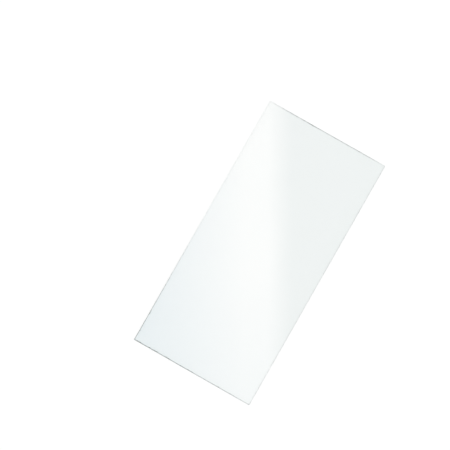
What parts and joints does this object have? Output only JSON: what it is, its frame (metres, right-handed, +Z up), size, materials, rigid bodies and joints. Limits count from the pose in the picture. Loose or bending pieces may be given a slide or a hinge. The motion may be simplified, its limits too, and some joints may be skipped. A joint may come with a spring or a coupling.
{
  "type": "microscope cover glass",
  "caption": "Rectangular microscope cover glass: a thin flat clear glass plate with square corners and snapped edges, laid over a specimen.",
  "frame": {"origin": "centre of the underside", "axes": "+X along the plate's length, +Y across its width, +Z up through the glass, out of the upper face"},
  "size_m": [0.05, 0.024, 0.0002],
  "materials": {
    "clear_glass": "clear, smooth fire-polished faces with a faint green-blue tint; fine snapped edges, the short ones a little darker"
  },
  "bodies": {
    "root": {"cover_glass": "clear_glass"}
  },
  "joints": []
}
